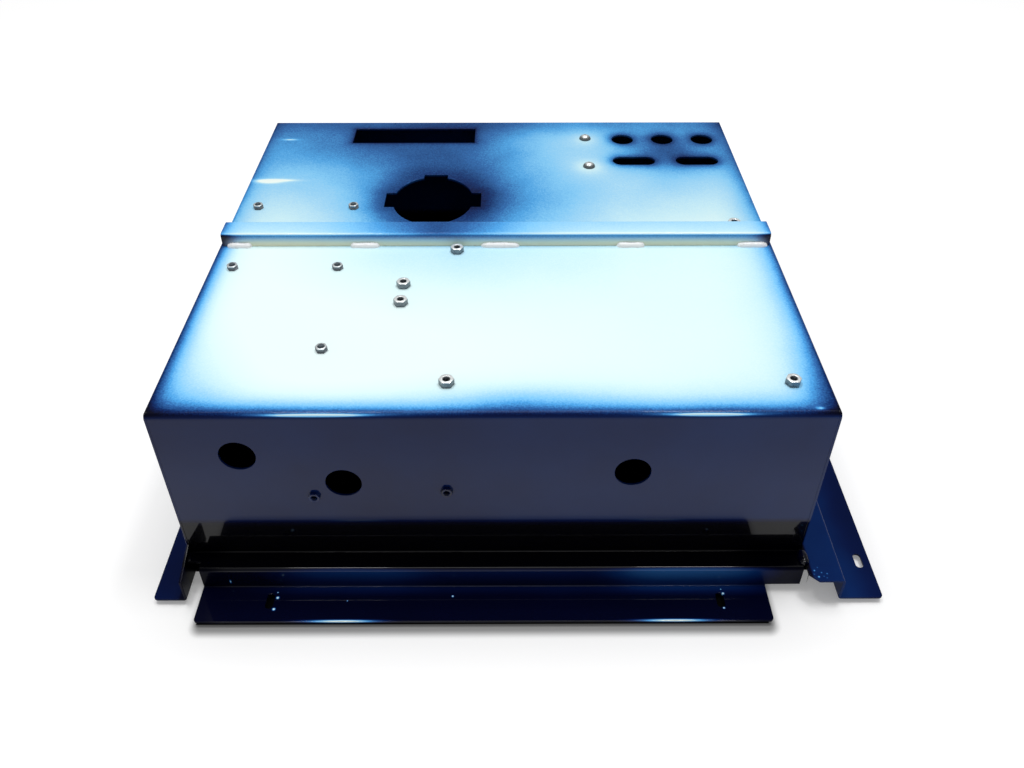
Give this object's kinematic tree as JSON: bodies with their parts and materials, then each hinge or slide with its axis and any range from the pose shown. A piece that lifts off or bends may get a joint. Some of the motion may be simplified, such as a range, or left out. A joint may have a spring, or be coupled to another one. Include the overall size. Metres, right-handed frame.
{
  "type": "flush wall enclosure back box",
  "caption": "Shallow welded sheet steel back box with an open front, stepped slotted mounting flanges, a stiffener channel, cut-outs and fixing nuts.",
  "frame": {"origin": "bottom centre of the part's bounding box, on the mounting plane of the flanges", "axes": "+Z from the mounting plane towards the back panel, +Y from the end wall with the conduit holes to the other end wall, +X towards the side panel with the stepped flange"},
  "size_m": [0.564, 0.582, 0.177],
  "materials": {
    "sheet_paint": "glossy dark blue enamel with paler oversprayed middles",
    "channel_paint": "glossy dark blue enamel",
    "weld_paint": "pale blue to white, smooth rippled bead",
    "corner_paint": "glossy blue-black enamel over a weld bead",
    "zinc": "bright zinc plate",
    "painted_nut": "glossy dark blue enamel"
  },
  "bodies": {
    "root": {"back_wrap": "sheet_paint", "left_side_panel": "sheet_paint", "right_side_panel": "sheet_paint", "stiffener_channel": "channel_paint", "stitch_weld_1": "weld_paint", "stitch_weld_2": "weld_paint", "stitch_weld_3": "weld_paint", "stitch_weld_4": "weld_paint", "stitch_weld_5": "weld_paint", "near_left_corner_weld": "corner_paint", "near_right_corner_weld": "corner_paint", "far_left_corner_weld": "corner_paint", "far_right_corner_weld": "corner_paint", "m6_nut_1": "zinc", "m6_nut_2": "zinc", "m6_nut_3": "zinc", "m6_nut_4": "zinc", "m6_nut_5": "zinc", "m6_nut_6": "zinc", "m5_nut_1": "zinc", "m5_nut_2": "zinc", "m5_nut_3": "zinc", "m5_nut_4": "zinc", "m5_nut_5": "zinc", "m5_screw_1": "zinc", "m5_screw_2": "zinc", "m5_screw_3": "zinc", "m5_screw_4": "zinc", "m5_screw_5": "zinc", "domed_screw_1": "zinc", "domed_screw_2": "zinc", "inner_nut_1": "zinc", "inner_nut_2": "zinc", "wall_nut_1": "painted_nut", "wall_nut_2": "painted_nut"}
  },
  "joints": []
}
